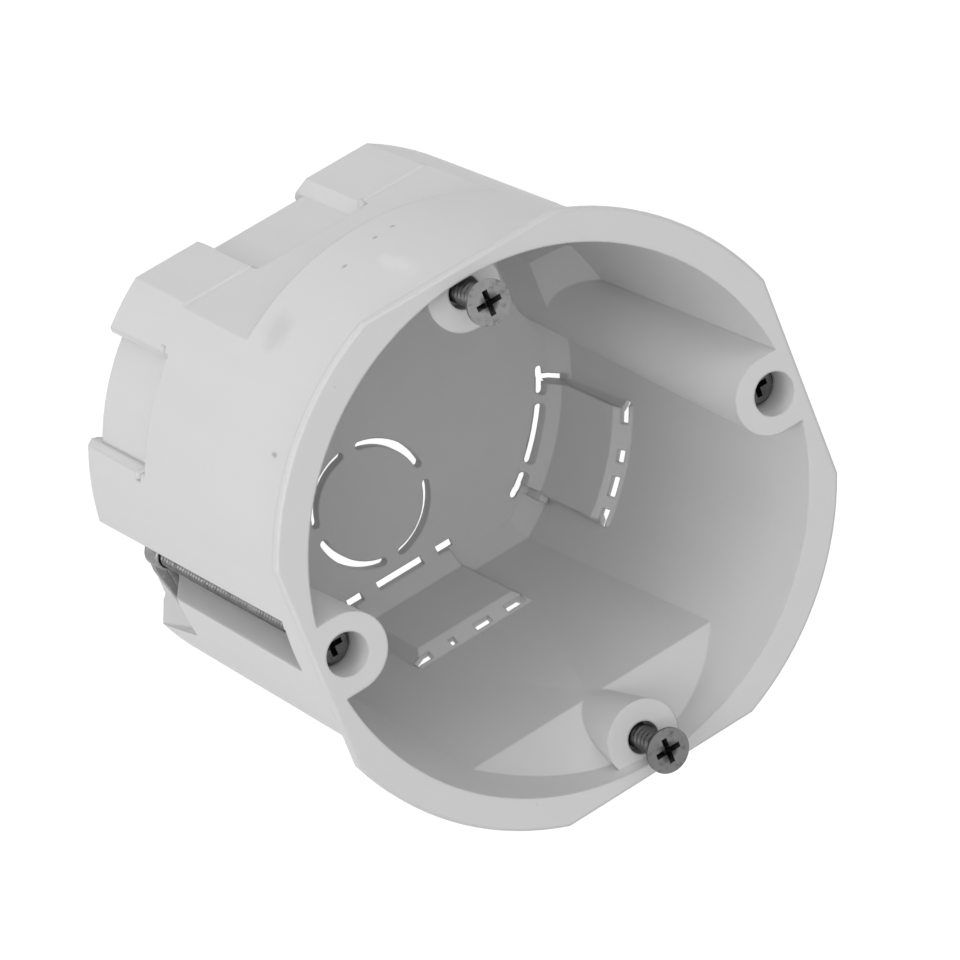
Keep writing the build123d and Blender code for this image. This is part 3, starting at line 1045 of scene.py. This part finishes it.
@dataclass(frozen=True)
class Screw:
    """One screw: its CAD node, its axis in millimetres, its kind, and its plating's name and grey level."""

    node: str
    x: float
    y: float
    kind: ScrewKind
    plating: str
    level: float

    def finish(self) -> Finish:
        """Return this screw's own plating, with painted shade about its axis."""
        kind, axis = self.kind, (self.x, self.y)
        return PlatedSteel(self.plating, self.level, kind.roughness, axis, kind.painted_shade, kind.shaded_below)

    def head(self) -> bmesh.types.BMesh:
        """Return the CAD screw above the neck, closed below.

        Returns:
            The head as an open edit mesh.
        """
        edit = merged(self.node)
        everything = list(edit.verts) + list(edit.edges) + list(edit.faces)
        cut = bmesh.ops.bisect_plane(edit, geom=everything, plane_co=(0, 0, self.kind.neck * MM),
                                     plane_no=(0, 0, 1), clear_inner=True)["geom_cut"]
        rim = [item for item in cut if isinstance(item, bmesh.types.BMEdge)]
        bmesh.ops.edgenet_fill(edit, edges=rim)
        bmesh.ops.recalc_face_normals(edit, faces=edit.faces)
        return edit

    def shank(self, thread: Thread) -> bmesh.types.BMesh:
        """Return the threaded shank, running a little way into the head.

        Args:
            thread: The thread's nodes.

        Returns:
            The shank as an open edit mesh.
        """
        kind = self.kind
        top = kind.neck + kind.overlap
        edit = as_edit(thread.mesh(
            Radius=kind.radius * MM, Depth=kind.depth * MM, Pitch=kind.pitch * MM,
            Bottom=kind.tip * MM, Top=top * MM, Centre_X=self.x * MM, Centre_Y=self.y * MM,
            Sides=kind.sides, Rings=int((top - kind.tip) / kind.pitch * kind.rings_per_turn),
            Material=self.finish().material()))
        bmesh.ops.recalc_face_normals(edit, faces=edit.faces)
        return edit

    def mesh(self, thread: Thread) -> bpy.types.Mesh:
        """Return the whole screw.

        Args:
            thread: The thread's nodes.

        Returns:
            The screw's mesh.
        """
        made = joined((self.head(), self.shank(thread)), 0.0, self.node)
        even_normals(made, self.kind.sharp_degrees)
        return made


# Each kind's painted shade: how dark the recess and shank are drawn, and for the device screws the height
# below which the shank darkens.
DEVICE_KIND = ScrewKind(radius=1.5, tip=42.4, neck=60.3, pitch=0.8, depth=0.26, sides=40, rings_per_turn=8,
                        roughness=0.42, painted_shade=0.8, shaded_below=60.3)
CLAW_KIND = ScrewKind(radius=1.25, tip=8.4, neck=52.7, pitch=0.7, depth=0.22, sides=32, rings_per_turn=6,
                      roughness=0.3, painted_shade=0.25)


@dataclass
class Screws:
    """The two device screws and the two claw screws."""

    screws: tuple[Screw, ...] = (
        # The two device screws share one plating, drawn lighter on the upper screw than on the lower:
        # painted light and painted shade.
        Screw("device_screw_upper", 0.0, DEVICE_SPACING / 2, DEVICE_KIND, "zinc plating upper", 142.0),
        Screw("device_screw_lower", 0.0, -DEVICE_SPACING / 2, DEVICE_KIND, "zinc plating lower", 122.0),
        Screw("claw_screw_left", -CLAW_X, 0.0, CLAW_KIND, "dull zinc plating left", 112.0),
        Screw("claw_screw_right", CLAW_X, 0.0, CLAW_KIND, "dull zinc plating right", 112.0),
    )

    def build(self) -> None:
        """Set a real thread under each CAD head."""
        thread = Thread()
        for screw in self.screws:
            mesh = screw.mesh(thread)
            add_piece(screw.node + "_shown", mesh, screw.finish(), screw.node, [screw.node])


@dataclass
class Claws:
    """The two punched claws, in millimetres: a toothed strip, a pressed rib and a drawn collar."""

    bottom: float = 9.8
    thickness: float = 1.2
    inner: float = 1.7
    outer: float = 1.45
    round_step: int = 15
    shoulder_y: float = -2.0
    heel_y: float = -6.6
    teeth: Outline = ((0.1, -8.6), (0.32, -8.2), (0.55, -8.4), (0.75, -8.02), (1.0, -8.2))
    edge: float = 0.12
    rib_corners: Outline = ((-0.3, -2.2), (0.25, -6.5), (0.5, -6.9), (0.85, -6.5), (0.5, -2.2))
    rib_sunk: float = 0.3
    rib_proud: float = 0.28
    bore: float = 1.3
    bore_edge: float = 0.12
    collar: float = 1.75
    collar_height: float = 2.0
    collar_sides: int = 48
    foot_edge: float = 0.15
    mouth_edge: float = 0.3
    mouth_bevel: float = 0.1
    sharp_degrees: float = 40.0
    turns: tuple[tuple[str, float], ...] = (("claw_left", 0.0), ("claw_right", HALF_TURN))
    finish: Finish = PunchedSheet("punched sheet", 140.0, 0.45)

    def outline(self) -> list[tuple[float, float]]:
        """Return the strip's outline about the screw axis, toothed at its tip.

        Returns:
            The outline's corners.
        """
        middle, half = (self.inner - self.outer) / 2, (self.inner + self.outer) / 2
        angles = [math.radians(degrees) for degrees in range(0, HALF_TURN + 1, self.round_step)]
        round_end = [(middle + half * math.cos(angle), half * math.sin(angle)) for angle in angles]
        return [*round_end, (-self.outer, self.shoulder_y), *self.teeth, (self.inner, self.heel_y)]

    def strip(self) -> bmesh.types.BMesh:
        """Return the strip, with its screw hole left to the collar."""
        corners = [(x - CLAW_X, y) for x, y in self.outline()]
        return plate(corners, self.bottom, self.bottom + self.thickness, self.edge)

    def rib(self) -> bmesh.types.BMesh:
        """Return the pressed rib along the strip.

        Returns:
            The rib as an open edit mesh.
        """
        corners = [(x - CLAW_X, y) for x, y in self.rib_corners]
        top = self.bottom + self.thickness
        return plate(corners, top - self.rib_sunk, top + self.rib_proud, self.edge)

    def hub(self) -> bmesh.types.BMesh:
        """Return the drawn collar with a rounded mouth.

        Returns:
            The collar as an open edit mesh.
        """
        low, high = self.bottom, self.bottom + self.thickness + self.collar_height
        bore, rim = self.bore, self.collar
        outline = [(bore, low), (rim - self.foot_edge, low), (rim, low + self.foot_edge),
                   (rim, high - self.mouth_edge), (rim - self.mouth_bevel, high - self.mouth_bevel),
                   (rim - self.mouth_edge, high), (bore + self.bore_edge, high),
                   (bore, high - self.bore_edge)]
        return turned_ring(outline, (-CLAW_X, 0.0), self.collar_sides)

    def build(self) -> None:
        """Make the left claw, and the right one as the same turned round."""
        for node, turn in self.turns:
            mesh = joined((self.strip(), self.rib(), self.hub()), turn, node)
            even_normals(mesh, self.sharp_degrees)
            add_piece(node + "_shown", mesh, self.finish, node, [node])


@dataclass(frozen=True)
class Lamp:
    """A soft square lamp: its place, its side and what it points at in metres, and its power in watts."""

    name: str
    place: tuple[float, float, float]
    side: float
    power: float
    aim: tuple[float, float, float] = (0.0, 0.0, 0.03)

    def hang(self) -> None:
        """Put the lamp in the scene."""
        data = bpy.data.lights.new(self.name, "AREA")
        data.size, data.energy = self.side, self.power
        lamp = linked(self.name, data)
        lamp.location = self.place
        lamp.rotation_euler = (Vector(self.aim) - Vector(self.place)).to_track_quat("-Z", "Y").to_euler()


@dataclass
class Stage:
    """The camera, fitted to the photograph, with the floor, the world and the lamps."""

    camera_place: tuple[float, float, float] = (-252.589, 329.713, 704.290)
    camera_turn: tuple[float, float, float] = (-2.65206466, 0.63004529, -0.60520613)
    focal_pixels: float = 6810.0
    image_pixels: float = 960.0
    sensor: float = 36.0
    clip: tuple[float, float] = (0.01, 20.0)
    floor_half: float = 3.0
    floor_height: float = -0.05 * MM
    floor_level: float = 235.0
    floor_glow: float = 1.12
    floor_glow_share: float = 0.88
    soft_light: float = 0.45
    background: float = 1.0
    lamps: tuple[Lamp, ...] = (
        Lamp("key", (-0.9, 0.35, 0.75), 0.6, 1.8),
        Lamp("side", (-1.0, 0.3, 0.42), 0.5, 2.4),
        Lamp("fill", (0.2, 0.9, 0.7), 0.8, 2.55),
        Lamp("front", (-0.35, 0.35, 1.0), 0.5, 1.5),
    )

    def camera(self) -> None:
        """Place the camera as fitted to the photograph."""
        turn = Vector(self.camera_turn)
        rows = Matrix.Rotation(turn.length, 3, turn.normalized())
        axes = Matrix((rows[0], -rows[1], -rows[2])).transposed()
        data = bpy.data.cameras.new("camera")
        data.sensor_width = self.sensor
        data.lens = self.focal_pixels / self.image_pixels * self.sensor
        data.clip_start, data.clip_end = self.clip
        camera = linked("camera", data)
        camera.matrix_world = Matrix.Translation(Vector(self.camera_place) * MM) @ axes.to_4x4()
        bpy.context.scene.camera = camera

    def seen(self, net: Net) -> Sock:
        """Return 1 for rays from the camera, a gloss or a glass, else 0.

        Args:
            net: The material's or world's net.

        Returns:
            The factor.
        """
        rays = net.node("ShaderNodeLightPath").outputs
        total = Sock(net, rays["Is Camera Ray"]) + rays["Is Glossy Ray"] + rays["Is Transmission Ray"]
        return net.math(Math.MINIMUM, total, 1.0)

    def floor(self) -> None:
        """Lay a white floor that keeps a faint shadow."""
        mesh = bpy.data.meshes.new("floor")
        half = self.floor_half
        corners = [(x * half, y * half, self.floor_height) for x, y in ((-1, -1), (1, -1), (1, 1), (-1, 1))]
        mesh.from_pydata(corners, [], [(0, 1, 2, 3)])
        material = bpy.data.materials.new("floor")
        net = emptied(material)
        matt = net.out("ShaderNodeBsdfDiffuse", None, {"Color": grey(self.floor_level)})
        white = net.out("ShaderNodeEmission", None, {"Color": grey(WHITE), "Strength": self.floor_glow})
        share = self.seen(net) * self.floor_glow_share
        both = net.out("ShaderNodeMixShader", None, {0: share, 1: matt, 2: white})
        net.node("ShaderNodeOutputMaterial", None, {"Surface": both})
        mesh.materials.append(material)
        floor = linked("floor", mesh)

    def world(self) -> None:
        """Surround the object with even light and a white background."""
        world = bpy.data.worlds.new("world")
        bpy.context.scene.world = world
        net = emptied(world)
        soft, white = (net.out("ShaderNodeBackground", None, {"Color": grey(WHITE), "Strength": strength})
                       for strength in (self.soft_light, self.background))
        both = net.out("ShaderNodeMixShader", None, {0: self.seen(net), 1: soft, 2: white})
        net.node("ShaderNodeOutputWorld", None, {"Surface": both})

    def build(self) -> None:
        """Set up the stage."""
        self.camera()
        self.floor()
        self.world()
        for lamp in self.lamps:
            lamp.hang()
        bpy.context.scene.view_settings.view_transform = "Standard"


def main() -> None:
    """Build every sub-assembly and the stage."""
    logging.basicConfig(level=logging.INFO)
    for part in (MouldedBox(), Screws(), Claws(), Stage()):
        part.build()


if __name__ == "__main__":
    main()
